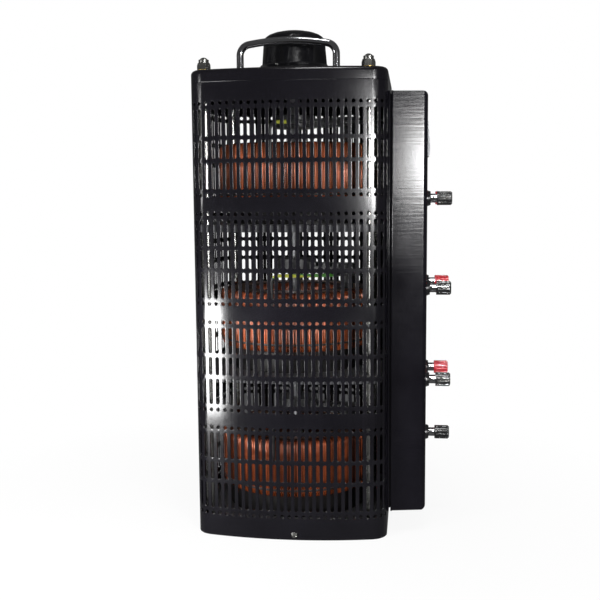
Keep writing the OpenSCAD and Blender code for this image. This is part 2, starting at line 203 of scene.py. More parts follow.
def apply_all(obj):
    """Applies every modifier of the object, in order."""
    choose(obj)
    for modifier in list(obj.modifiers):
        bpy.ops.object.modifier_apply(modifier=modifier.name)


def settle(obj):
    """Moves the object's place, turn and scale into its mesh."""
    choose(obj)
    bpy.ops.object.transform_apply(location=True, rotation=True, scale=True)


def heal(obj, gap=1e-5, outward=True):
    """Merges doubles and turns the faces outwards."""
    edit(obj)
    bpy.ops.mesh.select_all(action="SELECT")
    bpy.ops.mesh.remove_doubles(threshold=gap)
    if outward:
        bpy.ops.mesh.normals_make_consistent(inside=False)
    bpy.ops.object.mode_set(mode="OBJECT")


def bevel(obj, width, segments=2, angle=35):
    """Rounds the sharp edges by a modifier that is applied."""
    modifier = obj.modifiers.new("Edge", "BEVEL")
    modifier.width = width
    modifier.segments = segments
    modifier.limit_method = "ANGLE"
    modifier.angle_limit = math.radians(angle)
    modifier.harden_normals = False
    apply_all(obj)


def smooth(obj, angle=35):
    """Smooth shading up to this angle between faces."""
    choose(obj)
    bpy.ops.object.shade_smooth_by_angle(angle=math.radians(angle))


def even_normals(obj):
    """Lets large faces set the shading, so that narrow rounded edges don't tilt it."""
    modifier = obj.modifiers.new("Normals", "WEIGHTED_NORMAL")
    modifier.mode = "FACE_AREA"
    modifier.keep_sharp = True
    apply_all(obj)


def join(objects):
    """One object from several."""
    choose(*objects)
    bpy.ops.object.join()
    return bpy.context.object


def copy_of(obj):
    """A copy with its own mesh."""
    choose(obj)
    bpy.ops.object.duplicate(linked=False)
    return bpy.context.object


def turned(rings, steps=48, at=(0, 0, 0), turn=(0, 0, 0), closed=False):
    """Round piece built up from a disc by extrusions; rings are (radius, height) along its own axis.

    A closed one is a ring whose section runs back to where it starts.
    """
    deselect()
    radius, height = rings[0]
    fill = "NOTHING" if closed else "NGON"
    bpy.ops.mesh.primitive_circle_add(vertices=steps, radius=radius, fill_type=fill, location=(0, 0, height))
    obj = bpy.context.object
    settle(obj)
    bpy.ops.object.mode_set(mode="EDIT")
    bpy.ops.mesh.select_all(action="SELECT")
    for next_radius, next_height in rings[1:] + (rings[:1] if closed else []):
        bpy.ops.mesh.extrude_region_move(TRANSFORM_OT_translate={"value": (0, 0, next_height - height)})
        ratio = next_radius / radius
        bpy.ops.transform.resize(value=(ratio, ratio, 1), center_override=(0, 0, next_height))
        radius, height = next_radius, next_height
    bpy.ops.object.mode_set(mode="OBJECT")
    heal(obj)
    obj.rotation_euler = [math.radians(angle) for angle in turn]
    obj.location = at
    settle(obj)
    return obj


def block(low, high):
    """A box between two corners."""
    deselect()
    low, high = Vector(low), Vector(high)
    bpy.ops.mesh.primitive_cube_add(size=1, location=(low + high) / 2)
    obj = bpy.context.object
    obj.scale = high - low
    settle(obj)
    return obj


def tube(points, radius, sides=3, twist=0.0):
    """Round rod or wire along a line of points."""
    data = bpy.data.curves.new("line", "CURVE")
    data.dimensions = "3D"
    data.bevel_depth = radius
    data.bevel_resolution = sides
    data.use_fill_caps = True
    spline = data.splines.new("POLY")
    spline.points.add(len(points) - 1)
    for i, (point, place) in enumerate(zip(spline.points, points)):
        point.co = (*place, 1)
        point.tilt = twist * i
    line = bpy.data.objects.new("line", data)
    bpy.context.scene.collection.objects.link(line)
    choose(line)
    bpy.ops.object.convert(target="MESH")
    return bpy.context.object


def arc_points(centre, radius, start, end, steps, across, upward):
    """Points on an arc in the plane of two directions; angles in degrees."""
    points = []
    for i in range(steps + 1):
        angle = math.radians(start + (end - start) * i / steps)
        offset = Vector(across) * math.cos(angle) + Vector(upward) * math.sin(angle)
        points.append(Vector(centre) + offset * radius)
    return points


def cut_with(obj, cutter):
    """Cuts one piece out of another."""
    cut = obj.modifiers.new("Cut", "BOOLEAN")
    cut.operation = "DIFFERENCE"
    cut.solver = "EXACT"
    cut.object = cutter
    apply_all(obj)
    bpy.data.objects.remove(cutter)


def hand_over(obj, name, body, finish, replaced=()):
    """Names a finished piece, gives it its finish and puts it on its body."""
    obj.name = name
    obj.data.name = name
    obj.data.materials.clear()
    obj.data.materials.append(finish)
    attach(obj, body)
    if replaced:
        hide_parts(*replaced)


def refined(node, name, finish, body=HOUSING, width=0.0004, angle=40):
    """A copy of a CAD node with merged vertices, rounded edges and smooth curves."""
    obj = copy_of(NODES[node])
    obj.parent = None
    for key in list(obj.keys()):
        del obj[key]
    heal(obj, gap=2e-6, outward=False)
    edit(obj)
    bpy.ops.mesh.select_all(action="SELECT")
    bpy.ops.mesh.dissolve_limited(angle_limit=math.radians(1.0))
    bpy.ops.object.mode_set(mode="OBJECT")
    if width:
        bevel(obj, width, segments=2, angle=angle)
    smooth(obj, angle)
    even_normals(obj)
    hand_over(obj, name, body, finish, [node])
    return obj


# ---------------------------------------------------------------- finishes


class Nodes:
    """Short way to build a node tree."""

    def __init__(self, name):
        self.material = bpy.data.materials.new(name)
        self.material.use_nodes = True
        self.tree = self.material.node_tree
        self.shader = self.tree.nodes["Principled BSDF"]

    def add(self, kind, values=None, **settings):
        node = self.tree.nodes.new(kind)
        for key, value in settings.items():
            setattr(node, key, value)
        for key, value in (values or {}).items():
            if isinstance(value, bpy.types.NodeSocket):
                self.tree.links.new(value, node.inputs[key])
            else:
                node.inputs[key].default_value = value
        return node

    def set(self, **values):
        for key, value in values.items():
            socket = self.shader.inputs[key.replace("_", " ")]
            if isinstance(value, bpy.types.NodeSocket):
                self.tree.links.new(value, socket)
            else:
                socket.default_value = value

    def place(self):
        return self.add("ShaderNodeTexCoord").outputs["Object"]

    def noise(self, scale, detail=4, rough=0.5, vector=None):
        values = {"Scale": scale, "Detail": detail, "Roughness": rough, "Vector": vector or self.place()}
        return self.add("ShaderNodeTexNoise", values).outputs["Fac"]

    def ramp(self, fac, low, high, start=0.0, end=1.0):
        values = {"Value": fac, "From Min": start, "From Max": end, "To Min": low, "To Max": high}
        return self.add("ShaderNodeMapRange", values).outputs["Result"]

    def blend(self, fac, first, second):
        node = self.add("ShaderNodeMix", data_type="RGBA")
        for socket, value in zip((node.inputs[0], node.inputs[6], node.inputs[7]), (fac, first, second)):
            if isinstance(value, bpy.types.NodeSocket):
                self.tree.links.new(value, socket)
            elif isinstance(value, float):
                socket.default_value = value
            else:
                socket.default_value = (*value[:3], 1)
        return node.outputs[2]

    def math(self, kind, first, second=0.0):
        return self.add("ShaderNodeMath", {0: first, 1: second}, operation=kind).outputs[0]

    def upward(self):
        """How far a face looks up, from -1 to 1."""
        normal = self.add("ShaderNodeNewGeometry").outputs["Normal"]
        return self.add("ShaderNodeSeparateXYZ", {"Vector": normal}).outputs["Z"]

    def stretched(self, scale):
        """Place on the piece with each axis scaled by its own amount."""
        return self.add("ShaderNodeMapping", {"Vector": self.place(), "Scale": scale}).outputs["Vector"]

    def bump(self, height, strength, distance=0.0005):
        values = {"Height": height, "Strength": strength, "Distance": distance}
        self.set(Normal=self.add("ShaderNodeBump", values).outputs["Normal"])


def tinted(value, factor):
    """A colour made lighter or darker."""
    return [min(1.0, c * factor) for c in value]


def paint_finish(name, base, rough, dust=0.12, gloss=0.5, grain=0.0):
    """Sprayed paint: faint orange peel, uneven gloss, dust on faces that look up, fine sheet grain."""
    n = Nodes(name)
    cloud = n.noise(14, 5, 0.6)
    tone = n.blend(n.ramp(cloud, 0.0, 1.0, 0.35, 0.7), tinted(base, 0.85), tinted(base, 1.35))
    up = n.upward()
    facing = n.ramp(up, 0.0, dust, 0.55, 1.0)
    dusty = n.math("MULTIPLY", facing, n.ramp(n.noise(25, 6, 0.7), 0.2, 1.0, 0.3, 0.85))
    n.set(Base_Color=n.blend(dusty, tone, (0.16, 0.15, 0.14)))
    n.set(Roughness=n.ramp(cloud, rough - 0.03, rough + 0.05, 0.3, 0.7))
    n.set(Specular_IOR_Level=gloss)
    peel = n.noise(260, 3, 0.5)
    if grain:
        lines = n.noise(1, 1, 0.3, n.stretched((30, 30, 430)))
        peel = n.math("ADD", peel, n.math("MULTIPLY", lines, grain))
    n.bump(peel, 0.12, 0.00012)
    return n.material


def metal_finish(name, base, rough, grain=0.0, spots=0.0):
    """Bare or plated metal with fine scratches and patchy gloss."""
    n = Nodes(name)
    cloud = n.noise(45, 6, 0.65)
    scratch = n.noise(1, 2, 0.5, n.stretched((900, 900, 60)))
    patches = n.ramp(cloud, 0.0, 1.0, 0.35, 0.7)
    tone = n.blend(patches, tinted(base, 1 - 0.25 * spots - 0.05), tinted(base, 1.08))
    n.set(Base_Color=tone, Metallic=1.0)
    worn = n.ramp(cloud, rough * 0.8, rough * 1.3, 0.3, 0.7)
    n.set(Roughness=n.math("ADD", worn, n.ramp(scratch, 0.0, 0.08)))
    n.bump(scratch, 0.05 + grain, 0.00005)
    return n.material


def plastic_finish(name, base, rough, coat=0.0, gloss=0.5):
    """Moulded plastic with a faint grain."""
    n = Nodes(name)
    cloud = n.noise(70, 4, 0.6)
    n.set(Base_Color=n.blend(cloud, tinted(base, 0.8), tinted(base, 1.25)))
    n.set(Roughness=n.ramp(n.noise(320, 3, 0.6), rough - 0.05, rough + 0.08, 0.3, 0.7), Coat_Weight=coat)
    n.set(Specular_IOR_Level=gloss)
    n.bump(n.noise(1500, 2, 0.5), 0.1, 0.00005)
    return n.material


def wire_finish(s, turns, track_in, track_out):
    """Varnished copper turns, each a tone of its own picked at random, with painted shade on the faces that
    look up but for the ground brush track.
    """
    n = Nodes("copper_wire")
    axes = n.add("ShaderNodeSeparateXYZ", {"Vector": n.place()}).outputs
    angle = n.math("ARCTAN2", axes["Y"], axes["X"])
    index = n.math("FLOOR", n.math("MULTIPLY", angle, turns / math.tau))
    shade = n.add("ShaderNodeTexWhiteNoise", {"W": index}, noise_dimensions="1D").outputs["Value"]
    base = n.blend(shade, tinted(s.copper, 0.25), tinted(s.copper, 1.5))
    base = n.blend(n.ramp(n.noise(90, 4, 0.6), 0.0, 0.5, 0.4, 0.75), base, tinted(s.copper, 0.3))
    radius = n.math("SQRT", n.math("ADD", n.math("POWER", axes["X"], 2.0), n.math("POWER", axes["Y"], 2.0)))
    outside = n.math("GREATER_THAN", radius, track_in)
    ring = n.math("MULTIPLY", outside, n.math("LESS_THAN", radius, track_out))
    up = n.upward()
    # Painted shade: faces that look up turn nearly black, as the ring's top lies in shade
    flat = n.ramp(up, 0.0, 1.0, 0.7, 0.95)
    bare = n.math("MULTIPLY", ring, n.math("GREATER_THAN", up, 0.6))
    base = n.blend(flat, base, tinted(s.copper, 0.08))
    n.set(Base_Color=n.blend(bare, base, s.bare))
    n.set(Metallic=n.ramp(bare, 0.5, 1.0), Roughness=n.ramp(bare, 0.24, 0.3))
    n.set(Coat_Weight=0.6)
    n.set(Coat_Roughness=0.14)
    return n.material


def make_finishes():
    """All finishes, by name, made once."""
    s = bpy.context.scene.transformer_finish
    coil = bpy.context.scene.transformer_coil
    return {
        "paint": paint_finish("black_paint", s.paint, 0.16),
        "cage": paint_finish("cage_paint", s.paint, 0.15, dust=0.05),
        "box": paint_finish("box_paint", tinted(s.paint, 1.2), 0.14, gloss=0.3, grain=3.0),
        "dark": paint_finish("dark_metal", (0.018, 0.018, 0.02), 0.38, dust=0.2),
        "grey": paint_finish("grey_paint", s.grey, 0.42),
        "insulation": plastic_finish("insulation", (0.009, 0.008, 0.008), 0.42, gloss=0.2),
        "copper": wire_finish(s, coil.turns, coil.track_in, coil.track_out),
        "zinc": metal_finish("yellow_zinc", s.zinc, 0.34, spots=0.6),
        "bright": metal_finish("bright_zinc", (0.42, 0.42, 0.4), 0.2, spots=0.4),
        "chrome": metal_finish("chrome", (0.45, 0.45, 0.47), 0.07),
        "steel": metal_finish("ground_steel", (0.22, 0.22, 0.23), 0.3, grain=0.1),
        "carbon": plastic_finish("carbon", (0.02, 0.02, 0.022), 0.55),
        "knob": plastic_finish("knob_plastic", s.plastic, 0.18, gloss=0.3),
        "black": plastic_finish("post_black", s.plastic, 0.24, coat=0.4, gloss=0.9),
        "red": plastic_finish("post_red", s.red, 0.25, coat=0.4),
        "meter": plastic_finish("meter_grey", (0.42, 0.43, 0.45), 0.3, coat=0.3),
        "dial": metal_finish("dial_sheet", (0.62, 0.62, 0.63), 0.36, grain=0.1),
        "ink": plastic_finish("dial_ink", (0.01, 0.01, 0.012), 0.5),
        "white": plastic_finish("pointer_white", (0.75, 0.75, 0.72), 0.4),
        "green": plastic_finish("sleeve_green", (0.05, 0.2, 0.02), 0.4),
        "yellow": plastic_finish("sleeve_yellow", (0.32, 0.33, 0.03), 0.4),
        "sleeve": plastic_finish("lead_sleeve_black", (0.012, 0.012, 0.013), 0.35),
        "cord": plastic_finish("waxed_cord", (0.012, 0.008, 0.007), 0.45),
        "glass": plastic_finish("meter_window", (0.02, 0.022, 0.025), 0.08, coat=0.6),
    }


FINISH = {}


# ---------------------------------------------------------------- cage


def cage_plan(s):
    """Arcs of the cage in plan: centre, radius, first angle, last angle and number of hole columns.

    They run anticlockwise from the upper end of the flat wall.
    """
    half = -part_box("wall_left")[0].x
    face = (half * half + s.bulge * s.bulge) / (2 * s.bulge)
    centre = face - half
    mid = (-centre + math.sqrt(2 * (face - s.corner) ** 2 - centre**2)) / 2
    lean = math.atan2(mid, mid + centre)
    flat_x = half - s.corner
    flat_y = math.sqrt((face - s.corner) ** 2 - flat_x**2) - centre
    flat_lean = math.asin(flat_x / (face - s.corner))
    quarter = math.pi / 2

    def wall(c, start, end):
        return (c, face, start, end, round((end - start) * face / s.pitch))

    def corner(c, start, end):
        return (c, s.corner, start, end, int((end - start) * s.corner / s.pitch + 0.1))

    return [
        corner((flat_x, flat_y), 0, quarter - flat_lean),
        wall((0, -centre), quarter - flat_lean, quarter + lean),
        corner((-mid, mid), quarter + lean, 2 * quarter - lean),
        wall((centre, 0), 2 * quarter - lean, 2 * quarter + lean),
        corner((-mid, -mid), 2 * quarter + lean, 3 * quarter - lean),
        wall((0, centre), 3 * quarter - lean, 3 * quarter + flat_lean),
        corner((flat_x, -flat_y), 3 * quarter + flat_lean, 4 * quarter),
    ], 2 * flat_y


def outline_curve(plan, name="outline"):
    """The cage's plan as one closed curve of smooth arcs."""
    data = bpy.data.curves.new(name, "CURVE")
    data.dimensions = "2D"
    data.resolution_u = 64
    spline = data.splines.new("BEZIER")
    spline.bezier_points.add(len(plan))
    spline.use_cyclic_u = True
    for point in spline.bezier_points:
        point.handle_left_type = point.handle_right_type = "FREE"
    for i, (centre, radius, start, end, _) in enumerate(plan):
        reach = 4 / 3 * math.tan((end - start) / 4) * radius
        first, last = spline.bezier_points[i], spline.bezier_points[i + 1]
        for point, angle, side in ((first, start, 1), (last, end, -1)):
            at = Vector((centre[0] + radius * math.cos(angle), centre[1] + radius * math.sin(angle), 0))
            along = Vector((-math.sin(angle), math.cos(angle), 0)) * reach
            point.co = at
            if side > 0:
                point.handle_right = at + along
            else:
                point.handle_left = at - along
    first, last = spline.bezier_points[0], spline.bezier_points[-1]
    flat = first.co - last.co
    last.handle_right = last.co + flat / 3
    first.handle_left = first.co - flat / 3
    obj = bpy.data.objects.new(name, data)
    bpy.context.scene.collection.objects.link(obj)
    return obj


def slot_cutter(s, z, tall):
    """Prism that cuts one upright slot, or a round hole where tall is its diameter."""
    bpy.ops.mesh.primitive_cylinder_add(
        vertices=16,
        radius=s.slot / 2,
        depth=s.sheet * 6,
        location=(0, 0, z - (tall - s.slot) / 2),
        rotation=(math.pi / 2, 0, 0),
    )
    obj = bpy.context.object
    settle(obj)
    edit(obj)
    bpy.ops.mesh.select_all(action="SELECT")
    bpy.ops.transform.rotate(
        value=math.pi / 16, orient_axis="Y", center_override=(0, 0, z - (tall - s.slot) / 2)
    )
    if tall > s.slot:
        pick_verts(obj, lambda co: co.z > z - (tall - s.slot) / 2)
        bpy.ops.transform.translate(value=(0, 0, tall - s.slot))
    bpy.ops.object.mode_set(mode="OBJECT")
    return obj


def round_rims(strip, width):
    """Rounds the outer rims of the holes and of the strip's two ends, which catch the light."""
    edit(strip, "EDGE")
    half = max(v.co.x for v in strip.data.vertices) - 1e-5
    tall = max(v.co.z for v in strip.data.vertices) - 1e-5

    def is_rim(edge):
        ends = [strip.data.vertices[i].co for i in edge.vertices]
        at_hole = all(abs(co.x) < half and 1e-5 < co.z < tall for co in ends)
        at_end = all(co.z > tall for co in ends) or all(co.z < 1e-5 for co in ends)
        return all(co.y > -1e-5 for co in ends) and (at_hole or at_end)

    pick(strip, "edges", is_rim)
    bpy.ops.mesh.bevel(offset=width, segments=2, affect="EDGES")
    bpy.ops.object.mode_set(mode="OBJECT")


def hole_column(s, height):
    """Flat strip of sheet, one pitch wide, with all holes of one column."""
    deselect()
    bpy.ops.mesh.primitive_cube_add(size=1, location=(0, -s.sheet / 2, height / 2))
    strip = bpy.context.object
    strip.scale = (s.pitch, s.sheet, height)
    settle(strip)
    top = COVER_HIGH.z
    group = (top - s.first - s.drop - (s.groups - 1) * s.band) / s.groups
    slots = group - s.slot - 4 * s.bridge
    long_slot = slots * 0.37
    mid_slot = slots - 2 * long_slot
    side = s.slot / 2 + s.bridge + long_slot / 2
    holes = []
    for i in range(s.groups):
        low = s.first + i * (group + s.band)
        holes += [(low, s.slot), (low + side, long_slot), (low + group / 2, mid_slot)]
        holes += [(low + group - side, long_slot), (low + group, s.slot)]
    cutter = join([slot_cutter(s, z, tall) for z, tall in holes])
    cut = strip.modifiers.new("Holes", "BOOLEAN")
    cut.operation = "DIFFERENCE"
    cut.solver = "EXACT"
    cut.object = cutter
    apply_all(strip)
    bpy.data.objects.remove(cutter)
    heal(strip)
    round_rims(strip, s.rim)
    edit(strip)
    margin = s.slot / 2 + s.rim + 0.0002
    ends = [z + tall / 2 + s.bridge / 2 for z, tall in holes] + [holes[0][0] - s.slot]
    cuts = [((x, 0, 0), (1, 0, 0)) for x in (-margin, margin)]
    cuts += [((0, 0, z), (0, 0, 1)) for z in ends]
    for co, no in cuts:
        bpy.ops.mesh.select_all(action="SELECT")
        bpy.ops.mesh.bisect(plane_co=co, plane_no=no)
    half = s.pitch / 2
    pick_faces(strip, lambda co, no: abs(co.x) > half - 1e-5 and abs(no.x) > 0.9)
    bpy.ops.mesh.delete(type="FACE")
    bpy.ops.object.mode_set(mode="OBJECT")
    return strip


def plain_strip(s, height, start, wide, steps):
    """Flat strip of plain sheet, open at both ends."""
    deselect()
    bpy.ops.mesh.primitive_cube_add(size=1, location=(start + wide / 2, -s.sheet / 2, height / 2))
    strip = bpy.context.object
    strip.scale = (wide, s.sheet, height)
    settle(strip)
    round_rims(strip, s.rim)
    edit(strip)
    for i in range(1, steps):
        bpy.ops.mesh.select_all(action="SELECT")
        bpy.ops.mesh.bisect(plane_co=(start + wide * i / steps, 0, 0), plane_no=(1, 0, 0))
    pick_faces(strip, lambda co, no: abs(no.x) > 0.9)
    bpy.ops.mesh.delete(type="FACE")
    bpy.ops.object.mode_set(mode="OBJECT")
    return strip


def wrap_round(sheet, curve):
    """Bends a flat sheet along the plan."""
    bend = sheet.modifiers.new("Plan", "CURVE")
    bend.object = curve
    bend.deform_axis = "POS_X"
    apply_all(sheet)
    heal(sheet, gap=2e-5)


class TRANSFORMER_OT_cage(bpy.types.Operator):
    """Wraps the perforated sheet round the frame"""

    bl_idname = "transformer.cage"
    bl_label = "Perforated cage"

    def execute(self, context):
        s = context.scene.transformer_cage
        plan, flat = cage_plan(s)
        height = WALL_HIGH.z
        column = hole_column(s, height)
        front, left, rear = [], [], []
        along = 0.0
        for i, (_, radius, start, end, count) in enumerate(plan):
            parts = front if i < 3 else left if i == 3 else rear
            arc = (end - start) * radius
            is_corner = radius < 0.05
            pitch = min(arc / count, s.pitch) if is_corner else arc / count
            run = copy_of(column)
            edit(run)
            for side in (-1, 1):
                pick_verts(run, lambda co: co.x * side > s.pitch * 0.45)
                bpy.ops.transform.translate(value=(side * (pitch - s.pitch) / 2, 0, 0))
            bpy.ops.object.mode_set(mode="OBJECT")
            repeat = run.modifiers.new("Columns", "ARRAY")
            repeat.count = count
            repeat.use_relative_offset = False
            repeat.use_constant_offset = True
            repeat.constant_offset_displace = (pitch, 0, 0)
            repeat.use_merge_vertices = True
            repeat.merge_threshold = 1e-5
            apply_all(run)
            spare = arc - pitch * count
            lead = spare if along == 0 else 0
            run.location = (along + lead + pitch / 2, 0, 0)
            settle(run)
            parts.append(run)
            if spare > 1e-6:
                parts.append(plain_strip(s, height, along + (0 if lead else pitch * count), spare, 2))
            along += arc
        rear.append(plain_strip(s, height, along, flat, 12))
        bpy.data.objects.remove(column)
        curve = outline_curve(plan)
        sheets = (
            ("cage_front", front, ["wall_front", "corner_front_left", "corner_front_right"]),
            ("cage_left", left, ["wall_left"]),
            ("cage_rear", rear, ["wall_rear", "wall_right", "corner_rear_left", "corner_rear_right"]),
        )
        for name, parts, replaced in sheets:
            sheet = join(parts)
            heal(sheet, gap=1e-5)
            edit(sheet)
            bpy.ops.mesh.select_all(action="SELECT")
            bpy.ops.mesh.fill_holes(sides=0)
            bpy.ops.object.mode_set(mode="OBJECT")
            wrap_round(sheet, curve)
            smooth(sheet, 50)
            even_normals(sheet)
            hand_over(sheet, name, HOUSING, FINISH["cage"], replaced)
        bpy.data.objects.remove(curve)
        return {"FINISHED"}


class TRANSFORMER_OT_cover(bpy.types.Operator):
    """Models the cover with its rounded edge"""

    bl_idname = "transformer.cover"
    bl_label = "Cover"

    def execute(self, context):
        s = context.scene.transformer_cage
        plan, _ = cage_plan(s)
        curve = outline_curve(plan)
        curve.data.resolution_u = 14
        choose(curve)
        bpy.ops.object.convert(target="MESH")
        obj = bpy.context.object
        top, skirt = COVER_HIGH.z, WALL_HIGH.z
        edit(obj)
        bpy.ops.mesh.select_all(action="SELECT")
        bpy.ops.mesh.remove_doubles(threshold=1e-5)
        bpy.ops.mesh.edge_face_add()
        bpy.ops.transform.translate(value=(0, 0, skirt))
        bpy.ops.mesh.extrude_region_move(TRANSFORM_OT_translate={"value": (0, 0, top - skirt)})
        bpy.ops.mesh.select_all(action="SELECT")
        bpy.ops.mesh.normals_make_consistent(inside=False)
        pick_faces(obj, lambda co, no: no.z < -0.9)
        bpy.ops.mesh.delete(type="FACE")
        bpy.ops.object.mode_set(mode="OBJECT")
        rim = obj.modifiers.new("Rim", "BEVEL")
        rim.width = s.cover_edge
        rim.segments = 6
        rim.limit_method = "ANGLE"
        rim.angle_limit = math.radians(60)
        shell = obj.modifiers.new("Shell", "SOLIDIFY")
        shell.thickness = 0.0014
        shell.offset = -1
        apply_all(obj)
        bevel(obj, 0.0006, 2, 60)
        smooth(obj, 50)
        even_normals(obj)
        hand_over(obj, "cover", HOUSING, FINISH["paint"], ["top_cover"])
        return {"FINISHED"}


# ---------------------------------------------------------------- coils


def wire_turn(node, s):
    """One turn of wire round the ring's section, at the +X side, as a closed tube."""
    low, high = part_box(node)
    outer, inner = high.x, 0.045
    r, bend = s.wire / 2, s.bend
    deselect()
    start = Vector((outer - r, 0, low.z + r + bend))
    bpy.ops.mesh.primitive_circle_add(vertices=8, radius=r, location=start)
    obj = bpy.context.object
    settle(obj)
    bpy.ops.object.mode_set(mode="EDIT")
    bpy.ops.mesh.select_all(action="SELECT")
    tall = high.z - low.z - 2 * r - 2 * bend
    wide = outer - inner - 2 * r - 2 * bend
    centre = start + Vector((-bend, 0, 0))
    for move in ((0, 0, tall), (-wide, 0, 0), (0, 0, -tall), (wide, 0, 0)):
        bpy.ops.mesh.extrude_edges_move(TRANSFORM_OT_translate={"value": move})
        centre += Vector(move)
        bpy.ops.mesh.spin(steps=3, angle=math.pi / 2, center=centre, axis=(0, 1, 0))
    bpy.ops.object.mode_set(mode="OBJECT")
    heal(obj, gap=2e-5)
    return obj


class TRANSFORMER_OT_coils(bpy.types.Operator):
    """Winds the three rings turn by turn"""

    bl_idname = "transformer.coils"
    bl_label = "Ring windings"

    def execute(self, context):
        s = context.scene.transformer_coil
        for i in (1, 2, 3):
            node = f"winding_{i}"
            turn = wire_turn(node, s)
            pivot = bpy.data.objects.new("pivot", None)
            context.scene.collection.objects.link(pivot)
            pivot.rotation_euler = (0, 0, math.tau / s.turns)
            repeat = turn.modifiers.new("Turns", "ARRAY")
            repeat.count = s.turns
            repeat.use_relative_offset = False
            repeat.use_object_offset = True
            repeat.offset_object = pivot
            apply_all(turn)
            bpy.data.objects.remove(pivot)
            choose(turn)
            bpy.ops.object.shade_smooth()
            hand_over(turn, f"wound_ring_{i}", HOUSING, FINISH["copper"], [node])
        return {"FINISHED"}


class TRANSFORMER_OT_carriers(bpy.types.Operator):
    """Refines the plates, seats, rods and arms inside the cage"""

    bl_idname = "transformer.carriers"
    bl_label = "Plates, rods and arms"

    def execute(self, context):
        refined("base_plate", "base", FINISH["grey"], width=0.0006)
        for i in (1, 2, 3):
            refined(f"support_plate_{i}", f"plate_{i}", FINISH["grey"], width=0.0008)
            refined(f"coil_seat_{i}", f"seat_{i}", FINISH["insulation"])
            refined(f"brush_arm_{i}", f"arm_{i}", FINISH["dark"], ROTOR, width=0.0005)
            refined(f"brush_{i}", f"carbon_{i}", FINISH["carbon"], ROTOR, width=0.0003)
        refined("tie_rods", "rods", FINISH["zinc"], width=0.0)
        refined("spacer_tubes", "spacers", FINISH["bright"], width=0.0003)
        refined("shaft_bushes", "bushes", FINISH["zinc"], width=0.0)
        refined("shaft", "main_shaft", FINISH["steel"], ROTOR, width=0.0)
        return {"FINISHED"}


def lead_points(s, top):
    """Line of one earth lead: up the ring's side, round its front and out through the flat wall."""
    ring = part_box("winding_1")[1].x + s.lead_radius + 0.0003
    up = Vector((0, 0, 1))
    level = Vector((0, 0, top + s.lead_rise))
    bend = 0.008
    start, end = math.radians(-95), math.radians(-50)
    out = Vector((math.cos(start), math.sin(start), 0))
    along = Vector((-math.sin(start), math.cos(start), 0))
    points = [level + out * ring - along * bend - up * (bend + 0.035 * (4 - i) / 4) for i in range(4)]
    points += arc_points(level + out * ring - up * bend, bend, 180, 90, 6, along, up)
    points += arc_points(level, ring, -94, -50, 16, (1, 0, 0), (0, 1, 0))
    turn_r = 0.020
    out = Vector((math.cos(end), math.sin(end), 0))
    points += arc_points(level + out * (ring + turn_r), turn_r, 120, 90, 6, (1, 0, 0), (0, 1, 0))
    points.append(Vector((WALL_HIGH.x + 0.012, points[-1].y, level.z)))
    return points


class TRANSFORMER_OT_leads(bpy.types.Operator):
    """Runs a striped earth lead round each ring, and ties each ring with a cord"""

    bl_idname = "transformer.leads"
    bl_label = "Leads and cords"

    def execute(self, context):
        s = context.scene.transformer_coil
        leads, cords = [], []
        sides = 10
        for i in (1, 2, 3):
            low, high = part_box(f"winding_{i}")
            lead = tube(lead_points(s, high.z), s.lead_radius, twist=0.3)
            for finish in ("sleeve", "green", "yellow"):
                lead.data.materials.append(FINISH[finish])
            bare = range(9, 26) if i < 3 else range(11, 15)
            for face in lead.data.polygons:
                if face.index // sides in bare:
                    face.material_index = 2 if face.index % sides < sides // 2 else 1
            leads.append(lead)
            rings = [
                (high.x + s.cord_radius * (math.cos(a) - 0.3), s.cord_radius * math.sin(a))
                for a in [math.tau * k / 6 for k in range(6)]
            ]
            cords.append(turned(rings, steps=96, at=(0, 0, low.z + s.cord_height), closed=True))
        wires = join(leads)
        wires.name = wires.data.name = "earth_leads"
        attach(wires, HOUSING)
        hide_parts("lead_wires")
        # A dark sheet in the cage's paint that closes the rear corner's last columns of holes; it stands in
        # for the shade seen through them, and is guessed as a folded edge of the sheet
        edge_x, edge_y, edge_z = (0.0955, 0.1086), (0.0832, 0.0842), (0.02, 0.488)
        flange = block(*zip(edge_x, edge_y, edge_z))
        bevel(flange, 0.0003, 1, 60)
        hand_over(flange, "cage_flange", HOUSING, FINISH["cage"])
        tied = join(cords)
        smooth(tied, 60)
        hand_over(tied, "tie_cords", HOUSING, FINISH["cord"])
        return {"FINISHED"}


# ---------------------------------------------------------------- fittings


def pan_screw(s, place, turn, scale=1.0):
    """Slotted pan-head screw whose head stands on a face; turn points its axis outwards."""
    r = s.screw_head * scale
    profile = [(r * 0.9, -0.0004), (r, 0), (r, r * 0.25), (r * 0.86, r * 0.47), (r * 0.5, r * 0.58)]
    head = turned(profile, steps=32)
    cut_with(head, block((-r * 1.2, -r * 0.14, r * 0.3), (r * 1.2, r * 0.14, r)))
    bevel(head, 0.0001, 1, 50)
    head.rotation_euler = [math.radians(angle) for angle in turn]
    head.location = place
    settle(head)
    return head


def handle_points(s):
    """Middle line of the handle: two legs and a bar that rises to its middle."""
    low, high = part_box("carry_handle")
    rod = (high.y - low.y) / 2
    y = (low.y + high.y) / 2
    half = high.x - rod
    corner = high.z - rod - s.handle_arch
    points = []
    for side in (-1, 1):
        centre = Vector((side * (half - s.handle_bend), y, corner - s.handle_bend))
        leg = [Vector((side * half, y, low.z - 0.001)), Vector((side * half, y, (low.z + centre.z) / 2))]
        bend = arc_points(centre, s.handle_bend, 0, 85, 10, (side, 0, 0), (0, 0, 1))
        points.append(leg + bend)
    ends = points[0][-1], points[1][-1]
    bar = []
    for i in range(1, 16):
        t = i / 16
        middle = ends[0].lerp(ends[1], t)
        bar.append(middle + Vector((0, 0, s.handle_arch * 4 * t * (1 - t))))
    return points[0] + bar + points[1][::-1]


def radial_mark(angle, inner, outer, wide, z):
    """Thin printed line along a radius of the dial."""
    mark = block((inner, -wide / 2, z - 0.0002), (outer, wide / 2, z + 0.00005))
    mark.rotation_euler = (0, 0, angle)
    settle(mark)
    return mark


